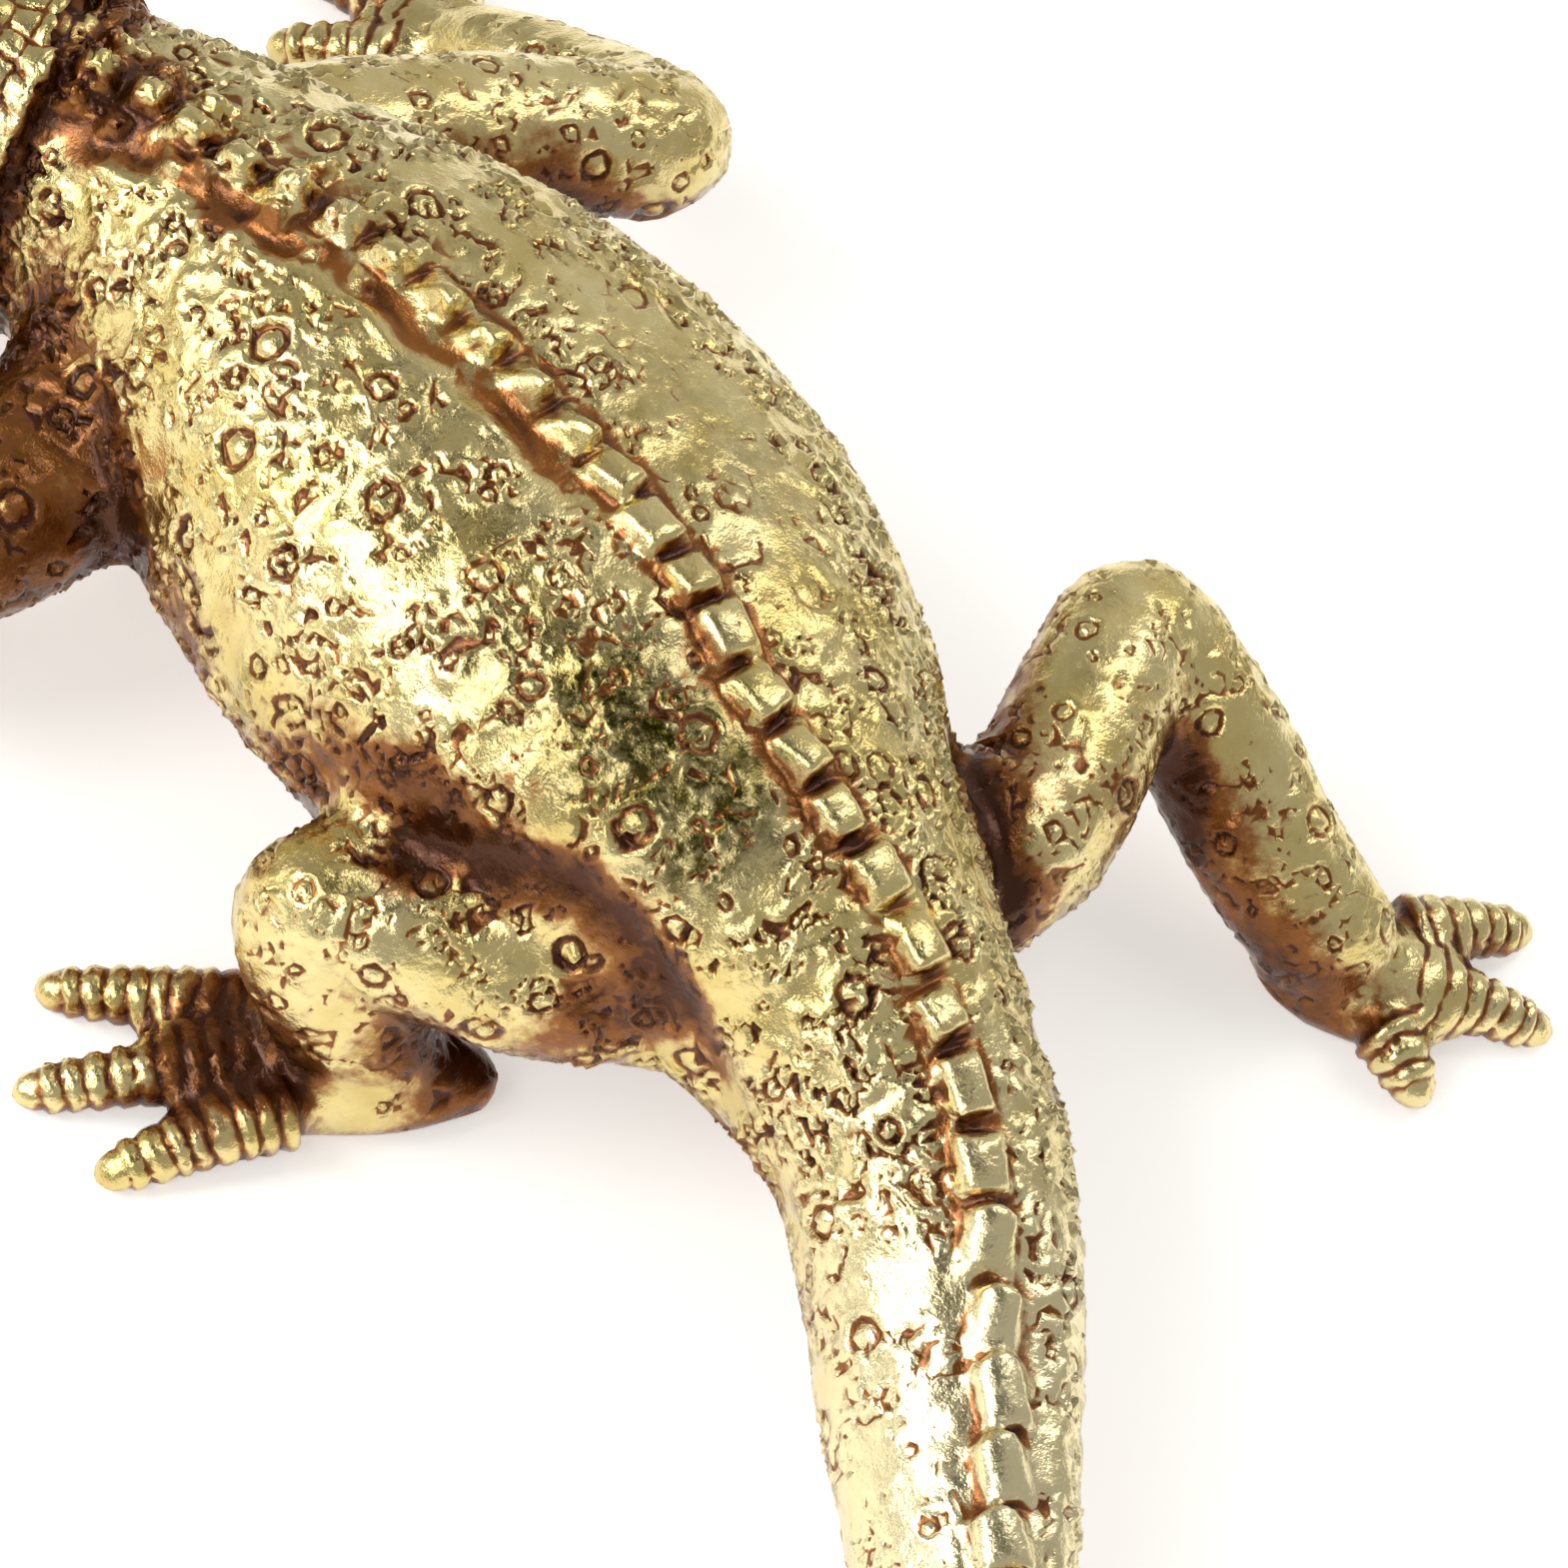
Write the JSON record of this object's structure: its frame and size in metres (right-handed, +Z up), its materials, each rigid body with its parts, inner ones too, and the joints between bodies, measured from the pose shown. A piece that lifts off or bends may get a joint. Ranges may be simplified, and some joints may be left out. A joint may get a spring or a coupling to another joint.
{
  "type": "lizard figurine",
  "caption": "Walking lizard tabletop figurine with splayed legs, raised back crest and long curved tail, antique gold finish.",
  "frame": {"origin": "on the ground under the middle of the figurine's bounding box", "axes": "+Z up, the lizard walks towards +Y and its right side is towards +X"},
  "size_m": [0.1172, 0.2202, 0.0384],
  "materials": {
    "antique_gold": "metallic antique gold lacquer with umber wash over cast resin"
  },
  "bodies": {
    "root": {"lizard_figurine": "antique_gold"}
  },
  "joints": []
}
